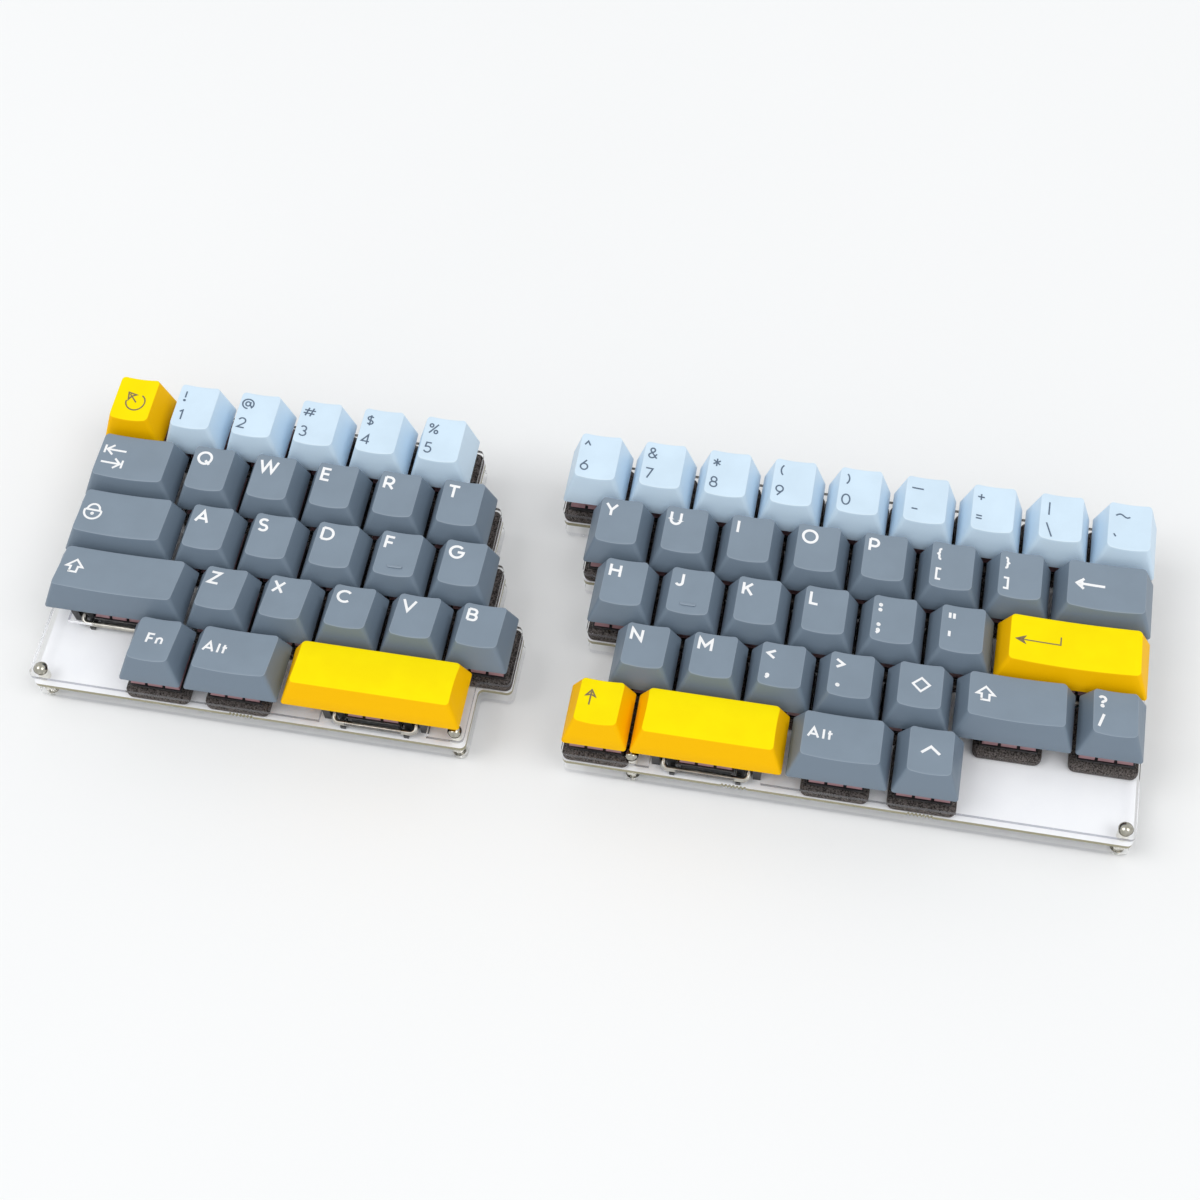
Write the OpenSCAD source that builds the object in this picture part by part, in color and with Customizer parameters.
// Split keyboard in two staggered halves. Each half is a bare board between a clear base plate
// and a clear switch plate, with plunger switches, soft pads and sculpted caps on top.

/* [Layout] */
// Distance between the centres of neighbouring keys
key_pitch = 19.05; // [18.9:0.05:19.8]
// Clear strip between the two halves as they stand
half_gap = 27.6; // [14:0.2:80]
// How far the right half stands behind the left one
half_shift = 1.2; // [0:0.1:6]
// Edge of the board and both plates beyond the outermost key cells
board_margin = 0; // [0:0.1:1.2]
// Radius of the corners of the board and both plates
corner_r = 1.6; // [0.6:0.1:2.3]

/* [Layers] */
// Height of the rubber feet
foot_h = 1.6; // [1.2:0.1:4]
// Thickness of the clear base plate
base_t = 2; // [1.5:0.1:4]
// Height of the hexagonal standoffs between base and board
standoff_h = 4; // [3.6:0.1:12]
// Thickness of the circuit board
board_t = 1.6; // [1.2:0.1:2]
// Thickness of the clear switch plate
plate_t = 1.5; // [1.2:0.1:1.6]
// Height of the switch plate's top above the board
plate_top = 5; // [4.8:0.1:5.4]

/* [Keycaps] */
// Gap between neighbouring caps at their skirts
cap_gap = 0.9; // [0.6:0.05:1.4]
// Height of the caps in the number row
cap_h_rear = 9.8; // [8:0.1:11]
// Height of the caps in the second row
cap_h_second = 7.45; // [7:0.05:9]
// Height of the caps in the home row
cap_h_home = 6.55; // [6.4:0.05:8]
// Height of the caps in the two front rows
cap_h_front = 6.7; // [6.6:0.05:8]
// Backward tilt of the second row's tops in degrees
cap_tilt_second = 2.5; // [0:0.5:6]
// Backward tilt of the home row's tops in degrees
cap_tilt_home = 5; // [0:0.5:7]
// Backward tilt of the front rows' tops in degrees
cap_tilt_front = 11.5; // [6:0.5:12]
// How much narrower a cap's top is than its skirt
cap_taper_w = 6.3; // [5:0.1:6.6]
// How much shorter a cap's top is than its skirt, front to rear
cap_taper_d = 3.5; // [3:0.1:4.5]
// How far a cap's top sits behind the middle of its skirt
cap_top_back = 2; // [1.2:0.1:2]
// Depth of the finger hollow across a cap's top
dish_depth = 0.65; // [0.3:0.05:0.7]
// Flat rim left at each side of that hollow
dish_rim = 0.25; // [0.1:0.05:0.6]
// Radius of the crown along a space bar
crown_r = 60; // [40:1:200]
// Corner radius of a cap's skirt
skirt_r = 0.9; // [0.4:0.1:1.5]
// Corner radius of a cap's top
top_r = 2.1; // [1:0.1:3]
// Wall of a cap at its skirt
cap_wall = 1.4; // [1:0.1:1.6]
// Roof of a cap under its finger hollow
cap_roof = 0.85; // [0.7:0.05:0.9]
// Diameter of the round post under a cap
post_d = 5.5; // [5.2:0.05:5.6]
// Length of the raised bar on the two homing keys
homing_bar_l = 3.6; // [2:0.1:5]

/* [Switches] */
// Key travel from rest to the stop
key_travel = 4; // [3:0.1:4]
// Height of the skirts above the switch plate at rest
skirt_lift = 6.2; // [6:0.05:6.4]
// Side of the square switch body below the plate
body_w = 13.9; // [13.6:0.05:14.2]
// How far the square flange on the plate stands out from the upper housing
flange_lip = 0.45; // [0.1:0.05:0.5]
// Thickness of that flange
flange_t = 0.9; // [0.6:0.1:1.2]
// Height of the upper housing's top above the plate
housing_h = 6.6; // [6.3:0.05:6.6]
// Side of the upper housing where it meets the flange
housing_w = 14.7; // [14:0.1:14.9]
// Width of the upper housing at its top
housing_top_w = 10.6; // [10.4:0.1:10.8]
// Depth of the upper housing at its top
housing_top_d = 9.6; // [9.2:0.1:9.8]
// Thickness of the upper housing's roof
housing_roof = 1.2; // [0.8:0.1:1.6]
// Width of the plunger where it passes the roof
plunger_w = 7; // [6.6:0.1:7.2]
// Depth of the plunger where it passes the roof
plunger_d = 5.6; // [5.4:0.1:5.8]
// Width of the plunger's stop under the roof
stop_w = 8.8; // [8.4:0.1:8.9]
// Length of each bar of the cross on top of a plunger
cross_l = 4; // [3.6:0.05:4.1]
// Thickness of each bar of that cross
cross_t = 1.15; // [1:0.05:1.3]
// Height of that cross
cross_h = 3.6; // [3:0.1:3.7]
// Diameter of the locating post under a switch
locator_d = 3.9; // [3:0.1:4]
// Length of that post below the switch body
locator_l = 3.2; // [2.5:0.1:3.3]

/* [Stabilisers] */
// Gap between a switch's flange and the stabiliser beside it
stab_gap = 0.75; // [0.45:0.05:0.95]
// Width of a stabiliser housing
stab_w = 6.7; // [6.4:0.1:6.8]
// Reach of a stabiliser housing behind its plunger
stab_rear = 5.4; // [5:0.1:6]
// Height of a stabiliser housing
stab_h = 7.2; // [6:0.1:7.2]
// Width of a stabiliser plunger
stab_plunger_w = 4.6; // [4.4:0.1:4.8]
// Depth of a stabiliser plunger
stab_plunger_d = 5.4; // [5:0.1:5.6]
// Diameter of the stabiliser wire
wire_d = 1.6; // [1.4:0.05:1.6]
// Radius of the wire's bends
wire_bend = 1.6; // [1.3:0.1:1.7]
// Length of the wire's ends beyond the middle of their plungers
wire_tip = 1.2; // [0.8:0.1:1.6]
// Gap between the wire's bar and the switch body behind it
bar_gap = 0.45; // [0.25:0.05:0.5]
// Height of the wire's bar above the board
wire_z = 2.4; // [2.2:0.05:2.45]
// Height of the wire's ends above its bar at rest
wire_rise = 2.8; // [2.6:0.05:2.9]

/* [Pads and fasteners] */
// Gap between neighbouring soft pads
pad_gap = 0.1; // [0.05:0.05:2]
// Corner radius of a soft pad
pad_r = 2; // [0.5:0.1:3]
// Distance of the corner screws from the board's edges
screw_inset = 2.9; // [2.6:0.1:3.6]
// Diameter of a screw's domed head
head_d = 4.1; // [3:0.1:4.1]
// Diameter of a screw's shank
shank_d = 2; // [1.6:0.1:2.2]
// Distance across the flats of the standoffs under the board
hex_af = 3.7; // [3.4:0.1:4.2]
// Diameter of the round spacers between board and plate
spacer_d = 3.4; // [3:0.1:4]
// Diameter of a rubber foot
foot_d = 8; // [5:0.5:12]
// Distance of a foot's middle from the board's edges
foot_inset = 10; // [8:0.5:14]

/* [Sockets] */
// Width of a cable socket's shell
socket_w = 8.94; // [8.8:0.02:9.2]
// Height of a cable socket's shell
socket_h = 3.2; // [3:0.05:3.4]
// Length of a cable socket's shell
socket_l = 6.9; // [6:0.1:7]
// Thickness of that shell
socket_wall = 0.3; // [0.2:0.05:0.4]
// Side of a controller chip
chip_w = 7; // [5:0.5:9]
// Thickness of a controller chip
chip_t = 1; // [0.8:0.1:1.6]

/* [Clearances] */
// Running gap round each moving plunger
slide_gap = 0.3; // [0.2:0.05:0.35]
// Gap between a cross and its socket
cross_gap = 0.05; // [0.02:0.01:0.1]
// Gap between a switch body and its cut-out in the plate
cutout_gap = 0.05; // [0.02:0.01:0.15]
// Gap round shanks, studs and locating posts
hole_gap = 0.15; // [0.1:0.05:0.3]
// Gap round the stabiliser wire
wire_gap = 0.35; // [0.3:0.05:0.4]

/* [Hidden] */
left = -1;
right = 1;
board_units = 15;
row_count = 5;
inner_edge = [6, 6.5, 6.75, 7.25, 6.75];
arc_steps = 5;
cap_arc_steps = 4;
slab_t = 0.3;
over = 0.1;
fine = 32;
broad = 360;

base_z = foot_h;
board_z = base_z + base_t + standoff_h;
board_top = board_z + board_t;
plate_z = board_top + plate_top;
pad_h = plate_top - plate_t;
skirt_z = plate_z + skirt_lift;
housing_z = plate_z + housing_h;
roof_z = housing_z - housing_roof;
cap_d = key_pitch - cap_gap;
cap_heights = [cap_h_rear, cap_h_second, cap_h_home, cap_h_front, cap_h_front];
cap_tilts = [0, cap_tilt_second, cap_tilt_home, cap_tilt_front, cap_tilt_front];

stop_d = plunger_d + 2 * slide_gap;
stop_h = 3.9;
well_w = stop_w + 2 * slide_gap;
well_d = stop_d + 2 * slide_gap;
well_floor = roof_z - stop_h - key_travel - over;
flange_w = housing_w + 2 * flange_lip;
clip_w = 0.9;
clip_h = 1.5;
clip_x = 2.6;
clip_depth = 0.9;

stab_x = flange_w / 2 + stab_gap + stab_w / 2;
wire_reach = body_w / 2 + bar_gap + wire_d / 2;
wire_room = wire_reach + wire_d / 2 + wire_gap;
wire_angle = asin(wire_rise / wire_reach);
stab_front = wire_reach - wire_bend;
wire_leg = wire_reach + wire_tip;
wire_slot = wire_d + 2 * wire_gap;
slot_h = wire_z + wire_reach * sin(wire_angle) + wire_d / 2;
fork_h = wire_z + wire_leg * sin(wire_angle) + wire_d / 2 + wire_gap;
stab_foot = key_travel + slide_gap;
seat_l = stab_w / 2 - wire_bend - wire_gap;

spacer_h = plate_top - plate_t;
stud_l = board_t + standoff_h / 2 - slide_gap;
head_h = foot_h - slide_gap;
bore_d = shank_d + 2 * hole_gap;
pad_relief_d = spacer_d + 2 * hole_gap;
bite_d = 0.7;
bite_pitch = 1.05;
bite_count = 7;

// Keys of a row as [node, width in units], so that unit keys need only a name
function unit_keys(names) = [for (n = names) [n, 1]];
function same_key(name, count) = [for (i = [1:count]) [name, 1]];

// Rows from rear to front: where the row starts, in units, and its keys
left_rows = [
    [0, concat(unit_keys(["key_escape"]), same_key("keys_left_numbers", 5))],
    [0, concat([["key_tab", 1.5]], unit_keys(["key_q", "key_w", "key_e", "key_r", "key_t"]))],
    [0, concat([["key_caps", 1.75]], unit_keys(["key_a", "key_s", "key_d", "key_f", "key_g"]))],
    [0, concat([["key_left_shift", 2.25]], unit_keys(["key_z", "key_x", "key_c", "key_v", "key_b"]))],
    [1.5, [["keys_modifiers", 1], ["keys_modifiers", 1.5], ["key_left_space", 2.75]]]
];
right_rows = [
    [6, concat(same_key("keys_right_numbers", 7), same_key("keys_symbols", 2))],
    [6.5, concat(unit_keys(["key_y", "key_u", "key_i", "key_o", "key_p"]),
        same_key("keys_symbols", 2), [["key_backspace", 1.5]])],
    [6.75, concat(unit_keys(["key_h", "key_j", "key_k", "key_l"]),
        same_key("keys_symbols", 2), [["key_enter", 2.25]])],
    [7.25, concat(unit_keys(["key_n", "key_m"]), same_key("keys_modifiers", 3),
        [["key_right_shift", 1.75]], same_key("keys_symbols", 1))],
    [6.75, [["key_up", 1], ["key_right_space", 2.25], ["keys_modifiers", 1.5], ["keys_modifiers", 1]]]
];

function width_before(keys, i) = i == 0 ? 0 : keys[i - 1][1] + width_before(keys, i - 1);
function keys_of(rows, half) = [
    for (r = [0:row_count - 1])
        for (i = [0:len(rows[r][1]) - 1])
            let (w = rows[r][1][i][1])
                [rows[r][1][i][0], half, r, rows[r][0] + width_before(rows[r][1], i) + w / 2, w]
];
KEYS = concat(keys_of(left_rows, left), keys_of(right_rows, right));

function name_of(key) = key[0];
function half_of(key) = key[1];
function row_of(key) = key[2];
function units_of(key) = key[4];
function place(half, u, v) = [
    (u - board_units / 2) * key_pitch + half * half_gap / 2,
    (row_count / 2 - v) * key_pitch + half * half_shift / 2
];
function key_xy(key) = place(half_of(key), key[3], row_of(key) + 0.5);

stabilised = ["key_left_shift", "key_enter", "key_left_space", "key_right_space"];
crowned = ["key_left_space", "key_right_space"];
homing = ["key_f", "key_j"];
function is_in(name, names) = len([for (n = names) if (n == name) n]) > 0;

key_names = [for (i = [0:len(KEYS) - 1])
    let (first = search([name_of(KEYS[i])], [for (k = KEYS) name_of(k)])[0])
        if (first == i) name_of(KEYS[i])];
frame_names = [
    "left_base_plate", "right_base_plate", "left_circuit_board", "right_circuit_board",
    "left_switch_plate", "right_switch_plate", "foam_pads", "switch_bases", "switch_tops",
    "stabiliser_housings", "left_shift_wire", "enter_wire", "left_space_wire", "right_space_wire",
    "board_standoffs", "plate_spacers", "dome_screws", "controller_chips", "cable_sockets", "rubber_feet"
];

// Screws of each half: two at the front edge, one at the outer edge, one where three keys meet
edge_u = screw_inset / key_pitch;
front_v = row_count - edge_u;
side_v = 1.5;
junction_v = 0.976;
left_junction_u = 5;
right_junction_u = 8;
left_inner_u = 6.75 - edge_u;
right_inner_u = 7.78;
function screws_of(half) = half == left
    ? [place(half, edge_u, front_v), place(half, left_inner_u, front_v),
        place(half, edge_u, side_v), place(half, left_junction_u, junction_v)]
    : [place(half, board_units - edge_u, front_v), place(half, right_inner_u, front_v),
        place(half, board_units - edge_u, side_v), place(half, right_junction_u, junction_v)];
ALL_SCREWS = concat(screws_of(left), screws_of(right));

// Feet near the corners of each half, inside the inner edge's deepest step
foot_u = foot_inset / key_pitch;
left_end_u = 6;
right_start_u = 7.25;
function foot_units(half) = half == left
    ? [foot_u, left_end_u - foot_u]
    : [right_start_u + foot_u, board_units - foot_u];
function feet_of(half) = [
    for (v = [foot_u, row_count - foot_u])
        for (u = foot_units(half))
            place(half, u, v)];

// Host and link sockets at the rear edges: [half, units from the left]
SOCKETS = [[left, 2.5], [left, 5.5], [right, 6.5]];
// Breakaway tab stubs along the front edges: [half, units from the left]
TABS = [[left, 3.3], [right, 9.3], [right, 12.0]];

// Corners of a closed outline replaced by quarter arcs
function unit(v) = v / norm(v);
function rounded(points, r, steps) = [
    for (i = [0:len(points) - 1])
        let (n = len(points), p = points[i],
            come = unit(p - points[(i + n - 1) % n]),
            go = unit(points[(i + 1) % n] - p))
            for (s = [0:steps])
                p + r * (go * (1 - cos(90 * s / steps)) - come * (1 - sin(90 * s / steps)))
];
function box_points(w, d) = [[-w / 2, -d / 2], [w / 2, -d / 2], [w / 2, d / 2], [-w / 2, d / 2]];

// Stepped outline of one half: the inner edge follows the rows' stagger
function step_y(half, r, margin) = r == 0 ? margin
    : r == row_count ? -margin
    : (inner_edge[r] > inner_edge[r - 1] ? 1 : -1) * -half * margin;
function inner_points(half, margin) = [
    for (r = [0:row_count - 1])
        for (end = [0, 1])
            place(half, inner_edge[r], r + end) + [-half * margin, step_y(half, r + end, margin)]
];
function outer_points(half, margin) = [
    for (end = [row_count, 0])
        place(half, half == left ? 0 : board_units, end)
            + [half * margin, end == 0 ? margin : -margin]
];
function outline(half, margin, r) = rounded(
    concat(inner_points(half, margin), outer_points(half, margin)), r, arc_steps);

module half_slab(half, z, t, margin, r) {
    translate([0, 0, z])
        linear_extrude(t)
            polygon(outline(half, margin, r));
}

module drill(points, z, t, d) {
    for (p = points)
        translate([p[0], p[1], z - over])
            cylinder(d = d, h = t + 2 * over, $fn = fine);
}

module block(w, d, z, h) {
    translate([-w / 2, -d / 2, z])
        cube([w, d, h]);
}

// Wedge whose width and depth change linearly with height, cut from two straight profiles
module wedge(w0, w1, d0, d1, z, h) {
    intersection() {
        translate([0, max(d0, d1), z])
            rotate([90, 0, 0])
                linear_extrude(2 * max(d0, d1))
                    polygon([[-w0 / 2, 0], [w0 / 2, 0], [w1 / 2, h], [-w1 / 2, h]]);
        translate([-max(w0, w1), 0, z])
            rotate([90, 0, 90])
                linear_extrude(2 * max(w0, w1))
                    polygon([[-d0 / 2, 0], [d0 / 2, 0], [d1 / 2, h], [-d1 / 2, h]]);
    }
}

module cross(l, t, z, h) {
    block(l, t, z, h);
    block(t, l, z, h);
}

module at_keys(names_kept) {
    for (k = KEYS)
        if (is_in(name_of(k), names_kept))
            translate(key_xy(k))
                children();
}

// Base plates
module base_plate(half) {
    difference() {
        half_slab(half, base_z, base_t, board_margin, corner_r);
        drill(screws_of(half), base_z, base_t, bore_d);
    }
}

module left_base_plate() color([0.86, 0.9, 0.92, 0.4]) base_plate(left);
module right_base_plate() color([0.86, 0.9, 0.92, 0.4]) base_plate(right);

// Circuit boards, with the stubs of the tabs that held them in their panel
module tab_stubs(half) {
    for (t = TABS)
        if (t[0] == half)
            for (i = [0:bite_count - 1])
                translate(concat(place(half, t[1], row_count)
                    + [(i - (bite_count - 1) / 2) * bite_pitch, -board_margin], board_z - over))
                    cylinder(d = bite_d, h = board_t + 2 * over, $fn = 16);
}

module circuit_board(half) {
    difference() {
        half_slab(half, board_z, board_t, board_margin, corner_r);
        drill(screws_of(half), board_z, board_t, bore_d);
        drill([for (k = KEYS) if (half_of(k) == half) key_xy(k)], board_z, board_t, locator_d + 2 * hole_gap);
        tab_stubs(half);
    }
}

module left_circuit_board() color([0.95, 0.95, 0.97]) circuit_board(left);
module right_circuit_board() color([0.95, 0.95, 0.97]) circuit_board(right);

// Switch plates, whose stabiliser cut-outs are open at the front edge
module stab_cutouts(row) {
    reach = row == row_count - 1 ? key_pitch : wire_room;
    for (side = [-1, 1])
        translate([side * stab_x - stab_w / 2 - slide_gap, -reach, -over])
            cube([stab_w + 2 * slide_gap, reach + stab_rear + slide_gap, plate_t + 2 * over]);
}

module switch_plate(half) {
    difference() {
        half_slab(half, plate_z - plate_t, plate_t, board_margin, corner_r);
        drill(screws_of(half), plate_z - plate_t, plate_t, bore_d);
        for (k = KEYS)
            if (half_of(k) == half)
                translate(concat(key_xy(k), plate_z - plate_t)) {
                    block(body_w + 2 * cutout_gap, body_w + 2 * cutout_gap, -over, plate_t + 2 * over);
                    if (is_in(name_of(k), stabilised))
                        stab_cutouts(row_of(k));
                }
    }
}

module left_switch_plate() color([0.88, 0.92, 0.94, 0.35]) switch_plate(left);
module right_switch_plate() color([0.88, 0.92, 0.94, 0.35]) switch_plate(right);

// Soft pads between board and plate, one round each switch that has no stabiliser
module foam_pad(key) {
    side = key_pitch - pad_gap;
    near = [for (p = screws_of(half_of(key))) if (norm(p - key_xy(key)) < key_pitch) p];
    difference() {
        translate(concat(key_xy(key), board_top))
            linear_extrude(pad_h)
                difference() {
                    polygon(rounded(box_points(side, side), pad_r, cap_arc_steps));
                    square(body_w + 2 * cutout_gap, center = true);
                    for (k = KEYS)
                        if (is_in(name_of(k), stabilised) && half_of(k) == half_of(key))
                            translate(key_xy(k) - key_xy(key) - [stab_x, wire_room])
                                square([2 * stab_x, wire_room]);
                }
        drill(near, board_top, pad_h, pad_relief_d);
    }
}

module foam_pads() {
    color([0.1, 0.1, 0.1])
        for (k = KEYS)
            if (!is_in(name_of(k), stabilised))
                foam_pad(k);
}

// Switches: a lower housing with its flange on the plate, and an upper housing clipped on it
module clip_notches(z, h) {
    for (x = [-clip_x, clip_x])
        for (side = [-1, 1])
            translate([x - clip_w / 2, side * housing_w / 2 - clip_depth, z])
                cube([clip_w, 2 * clip_depth, h]);
}

module switch_base() {
    difference() {
        union() {
            block(body_w, body_w, board_top, plate_top);
            block(flange_w, flange_w, plate_z, flange_t);
        }
        block(well_w, well_d, well_floor, plate_z + flange_t - well_floor + over);
    }
    translate([0, 0, board_top - locator_l])
        cylinder(d = locator_d, h = locator_l, $fn = fine);
}

module switch_top() {
    z = plate_z + flange_t;
    h = housing_z - z;
    difference() {
        wedge(housing_w, housing_top_w, housing_w, housing_top_d, z, h);
        block(well_w, well_d, z - over, roof_z - z + over);
        block(plunger_w + 2 * slide_gap, plunger_d + 2 * slide_gap, roof_z - over, housing_roof + 2 * over);
        clip_notches(z - over, clip_h + over);
    }
}

module switch_bases() color([0.12, 0.11, 0.12]) at_keys(key_names) switch_base();
module switch_tops() color([0.72, 0.55, 0.58]) at_keys(key_names) switch_top();

// Plunger of a switch: a neck through the roof, a stop below it and a cross above it
module plunger() {
    block(plunger_w, plunger_d, roof_z - slide_gap, housing_roof + slide_gap);
    block(stop_w, stop_d, roof_z - stop_h, stop_h);
    cross(cross_l, cross_t, housing_z - over, cross_h + over);
}

// Stabilisers: a housing on the board, a forked plunger in it and one wire for each pair
module stab_housing() {
    well = [stab_plunger_w + 2 * slide_gap, stab_plunger_d + 2 * slide_gap];
    difference() {
        translate([-stab_w / 2, -stab_front, board_top])
            cube([stab_w, stab_front + stab_rear, stab_h]);
        block(well[0], well[1], board_top - over, stab_h + 2 * over);
        translate([-wire_slot / 2, -stab_front - over, board_top - over])
            cube([wire_slot, stab_front + over, slot_h + over]);
    }
}

module wire_seat() {
    difference() {
        translate([-stab_w / 2, -wire_reach - wire_d / 2, board_top])
            cube([seat_l, wire_reach + wire_d / 2 - stab_front, wire_z]);
        translate([-stab_w / 2 - over, -wire_reach, board_top + wire_z])
            rotate([0, 90, 0])
                cylinder(d = wire_d + 2 * wire_gap, h = seat_l + 2 * over, $fn = fine);
    }
}

module stabiliser_housings() {
    color([0.1, 0.1, 0.11])
        at_keys(stabilised)
            for (side = [0, 1])
                mirror([side, 0, 0])
                    translate([stab_x, 0, 0]) {
                        stab_housing();
                        wire_seat();
                    }
}

module stab_plunger() {
    difference() {
        block(stab_plunger_w, stab_plunger_d, board_top + stab_foot, housing_z - board_top - stab_foot);
        block(wire_slot, stab_plunger_d + 2 * over, board_top + stab_foot - over, fork_h - stab_foot + over);
    }
    cross(cross_l, cross_t, housing_z - over, cross_h + over);
}

module wire_half() {
    rotate([0, 90, 0])
        cylinder(d = wire_d, h = stab_x - wire_bend, $fn = fine);
    translate([stab_x - wire_bend, wire_bend, 0])
        rotate([0, 0, -90])
            rotate_extrude(angle = 90, $fn = fine)
                translate([wire_bend, 0])
                    circle(d = wire_d, $fn = fine);
    translate([stab_x, wire_bend, 0])
        rotate([-90, 0, 0])
            cylinder(d = wire_d, h = wire_leg - wire_bend, $fn = fine);
}

module wire(name) {
    color([0.78, 0.76, 0.72])
        at_keys([name])
            translate([0, -wire_reach, board_top + wire_z])
                rotate([wire_angle, 0, 0])
                    for (side = [0, 1])
                        mirror([side, 0, 0])
                            wire_half();
}

module left_shift_wire() wire("key_left_shift");
module enter_wire() wire("key_enter");
module left_space_wire() wire("key_left_space");
module right_space_wire() wire("key_right_space");

// Fasteners: a standoff under the board, a studded spacer on it, and a domed screw at each end
module board_standoffs() {
    color([0.8, 0.79, 0.76])
        for (p = ALL_SCREWS)
            translate(p)
                translate([0, 0, base_z + base_t])
                    difference() {
                        cylinder(d = 2 * hex_af / sqrt(3), h = standoff_h, $fn = 6);
                        translate([0, 0, -over])
                            cylinder(d = bore_d, h = standoff_h + 2 * over, $fn = fine);
                    }
}

module plate_spacers() {
    color([0.8, 0.79, 0.76])
        for (p = ALL_SCREWS)
            translate(p) {
                translate([0, 0, board_top])
                    difference() {
                        cylinder(d = spacer_d, h = spacer_h, $fn = fine);
                        translate([0, 0, spacer_h / 2])
                            cylinder(d = bore_d, h = spacer_h, $fn = fine);
                    }
                translate([0, 0, board_top - stud_l])
                    cylinder(d = shank_d, h = stud_l, $fn = fine);
            }
}

module dome_screw(shank_l) {
    ball_r = (head_d * head_d / 4 + head_h * head_h) / (2 * head_h);
    intersection() {
        translate([0, 0, head_h - ball_r])
            sphere(r = ball_r, $fn = fine);
        cylinder(d = head_d, h = head_h, $fn = fine);
    }
    translate([0, 0, -shank_l])
        cylinder(d = shank_d, h = shank_l, $fn = fine);
}

module dome_screws() {
    color([0.82, 0.8, 0.76])
        for (p = ALL_SCREWS)
            translate(p) {
                translate([0, 0, plate_z])
                    dome_screw(plate_t + spacer_h / 2 - slide_gap);
                translate([0, 0, base_z])
                    mirror([0, 0, 1])
                        dome_screw(base_t + standoff_h / 2 - slide_gap);
            }
}

// Electronics under the boards
module controller_chips() {
    color([0.08, 0.08, 0.09])
        for (half = [left, right])
            translate(concat(place(half, half == left ? 3 : 10, 1), board_z - chip_t))
                difference() {
                    block(chip_w, chip_w, 0, chip_t);
                    translate([chip_w / 2 - 1, chip_w / 2 - 1, -over])
                        cylinder(d = 0.8, h = 2 * over, $fn = fine);
                }
}

module cable_socket() {
    shell = [socket_w, socket_h];
    mouth = shell - 2 * [socket_wall, socket_wall];
    back_t = 1.2;
    tongue = [6.7, 0.7];
    rotate([90, 0, 0]) {
        difference() {
            linear_extrude(socket_l)
                polygon(rounded(box_points(shell[0], shell[1]), socket_h / 2 - over, cap_arc_steps));
            translate([0, 0, -over])
                linear_extrude(socket_l - back_t + over)
                    polygon(rounded(box_points(mouth[0], mouth[1]), mouth[1] / 2 - over, cap_arc_steps));
        }
        translate([0, 0, back_t])
            linear_extrude(socket_l - 2 * back_t)
                square(tongue, center = true);
    }
}

module cable_sockets() {
    color([0.75, 0.76, 0.78])
        for (s = SOCKETS)
            translate(concat(place(s[0], s[1], 0) + [0, board_margin], board_z - socket_h / 2))
                cable_socket();
}

module rubber_feet() {
    color([0.15, 0.15, 0.16])
        for (half = [left, right])
            for (p = feet_of(half))
                translate(p)
                    cylinder(d = foot_d, h = foot_h, $fn = fine);
}

// Keycaps: a lofted shell with a finger hollow or a crown, and a socketed post for each plunger
module top_frame(row) {
    translate([0, cap_top_back, skirt_z + cap_heights[row]])
        rotate([-cap_tilts[row], 0, 0])
            children();
}

module cap_loft(row, w) {
    hull() {
        translate([0, 0, skirt_z])
            linear_extrude(slab_t)
                polygon(rounded(box_points(w, cap_d), skirt_r, cap_arc_steps));
        top_frame(row)
            translate([0, 0, -slab_t])
                linear_extrude(slab_t)
                    polygon(rounded(box_points(w - cap_taper_w, cap_d - cap_taper_d), top_r, cap_arc_steps));
    }
}

module finger_hollow(row, w) {
    chord = w - cap_taper_w - 2 * dish_rim;
    r = (chord * chord / 4 + dish_depth * dish_depth) / (2 * dish_depth);
    top_frame(row)
        translate([0, 0, r - dish_depth])
            rotate([90, 0, 0])
                cylinder(r = r, h = 2 * key_pitch, center = true, $fn = broad);
}

module crown(row, w) {
    top_frame(row)
        translate([0, 0, -crown_r])
            rotate([0, 90, 0])
                cylinder(r = crown_r, h = 2 * w, center = true, $fn = broad);
}

// Hollow under a cap: its ceiling runs parallel to the top, clear of the switch at full travel
module cap_hollow(row, w) {
    tilt = cap_tilts[row];
    ceiling = cap_heights[row] - dish_depth - cap_roof;
    front_y = -cap_d / 2 + cap_wall;
    rear_y = cap_d / 2 - cap_wall;
    narrow = cap_taper_w * ceiling / cap_heights[row];
    top_front = front_y + (cap_taper_d / 2 + cap_top_back) * ceiling / cap_heights[row] - cap_wall / 4;
    top_rear = housing_top_d / 2 + 2 * slide_gap;
    function ceil_at(y) = ceiling - (y - cap_top_back) * tan(tilt);
    intersection() {
        translate([0, key_pitch, skirt_z])
            rotate([90, 0, 0])
                linear_extrude(2 * key_pitch)
                    polygon([[-w / 2 + cap_wall, -over], [w / 2 - cap_wall, -over],
                        [(w - narrow) / 2 - cap_roof, ceiling], [(w - narrow) / 2 - cap_roof, 2 * ceiling],
                        [-(w - narrow) / 2 + cap_roof, 2 * ceiling],
                        [-(w - narrow) / 2 + cap_roof, ceiling]]);
        translate([-w, 0, skirt_z])
            rotate([90, 0, 90])
                linear_extrude(2 * w)
                    polygon([[front_y, -over], [rear_y, -over],
                        [top_rear, ceil_at(top_rear)], [top_front, ceil_at(top_front)]]);
    }
}

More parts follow.
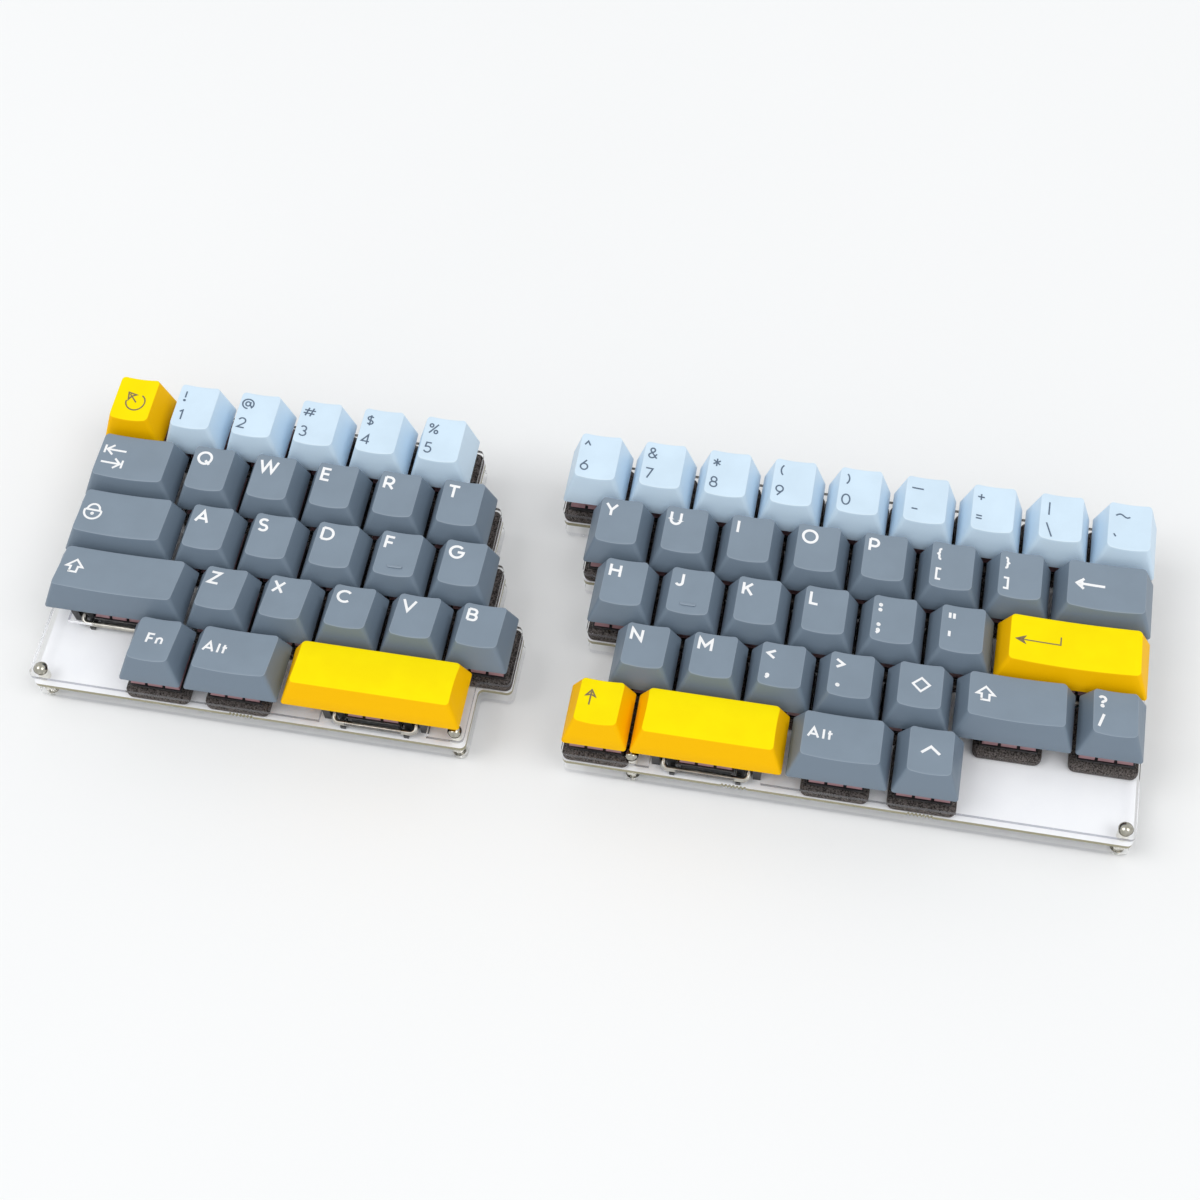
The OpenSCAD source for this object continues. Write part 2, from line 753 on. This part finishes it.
module cap_post(row, x) {
    ceiling = cap_heights[row] - dish_depth - cap_roof + cap_top_back * tan(cap_tilts[row]);
    foot_z = housing_z + cross_gap;
    translate([x, 0, 0])
        difference() {
            translate([0, 0, foot_z])
                cylinder(d = post_d, h = skirt_z + ceiling - foot_z + cap_roof / 2, $fn = fine);
            cross(cross_l + 2 * cross_gap, cross_t + 2 * cross_gap, housing_z, cross_h + slide_gap);
        }
}

module homing_bar(row) {
    top_frame(row)
        translate([0, -cap_d / 4, -dish_depth])
            block(homing_bar_l, 0.8, -0.3, 0.75);
}

module keycap(key) {
    name = name_of(key);
    row = row_of(key);
    w = units_of(key) * key_pitch - cap_gap;
    difference() {
        if (is_in(name, crowned))
            intersection() {
                cap_loft(row, w);
                crown(row, w);
            }
        else
            cap_loft(row, w);
        if (!is_in(name, crowned))
            finger_hollow(row, w);
        cap_hollow(row, w);
    }
    if (is_in(name, homing))
        homing_bar(row);
    cap_post(row, 0);
    if (is_in(name, stabilised))
        for (x = [-stab_x, stab_x])
            cap_post(row, x);
}

grey = [0.37, 0.42, 0.47];
pale_blue = [0.66, 0.75, 0.85];
yellow = [1, 0.78, 0.02];
yellow_keys = ["key_escape", "key_enter", "key_left_space", "key_right_space", "key_up"];
function cap_colour(key) = is_in(name_of(key), yellow_keys) ? yellow
    : row_of(key) == 0 ? pale_blue
    : grey;

module key_node(name) {
    for (k = KEYS)
        if (name_of(k) == name)
            translate(key_xy(k)) {
                color(cap_colour(k))
                    keycap(k);
                color([0.25, 0.2, 0.2])
                    plunger();
                if (is_in(name, stabilised))
                    for (x = [-stab_x, stab_x])
                        translate([x, 0, 0])
                            color([0.1, 0.1, 0.11])
                                stab_plunger();
            }
}

left_base_plate();
right_base_plate();
left_circuit_board();
right_circuit_board();
left_switch_plate();
right_switch_plate();
foam_pads();
switch_bases();
switch_tops();
stabiliser_housings();
left_shift_wire();
enter_wire();
left_space_wire();
right_space_wire();
board_standoffs();
plate_spacers();
dome_screws();
controller_chips();
cable_sockets();
rubber_feet();
for (name = key_names)
    key_node(name);
